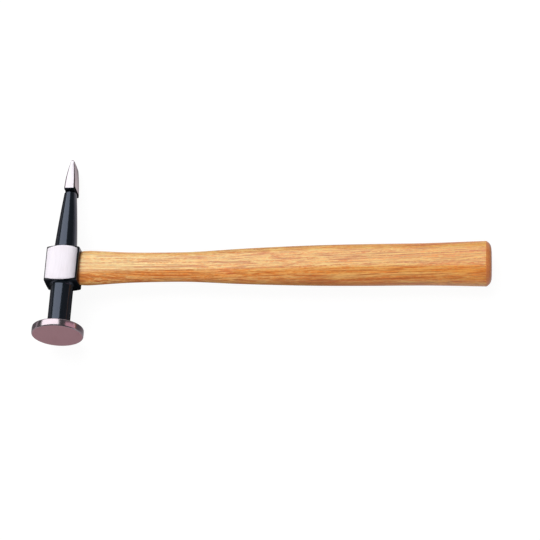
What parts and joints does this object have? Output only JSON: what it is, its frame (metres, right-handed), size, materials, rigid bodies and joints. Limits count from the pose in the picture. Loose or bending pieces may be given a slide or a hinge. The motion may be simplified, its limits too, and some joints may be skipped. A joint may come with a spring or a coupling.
{
  "type": "straight peen hammer",
  "caption": "Body-work hammer with a round flat face, a tapering arm that ends in a ground peen blade, and an oval wooden handle.",
  "frame": {"origin": "centre of the round striking face", "axes": "+X along the handle from the head to the butt, +Y along the head from the striking face to the peen, +Z out of the cheek that faces up when the hammer lies on its side"},
  "size_m": [0.3606, 0.1533, 0.0412],
  "materials": {
    "forged_steel": "face, cheeks and blade ground bright, the rest in glossy black enamel",
    "lacquered_hickory": "clear lacquer, glossy",
    "wedge_wood": "bare, dry",
    "wedge_steel": "dull, as stamped"
  },
  "bodies": {
    "root": {"head": "forged_steel", "handle": "lacquered_hickory", "wooden_wedge": "wedge_wood", "steel_wedge_peen_side": "wedge_steel", "steel_wedge_face_side": "wedge_steel"}
  },
  "joints": []
}
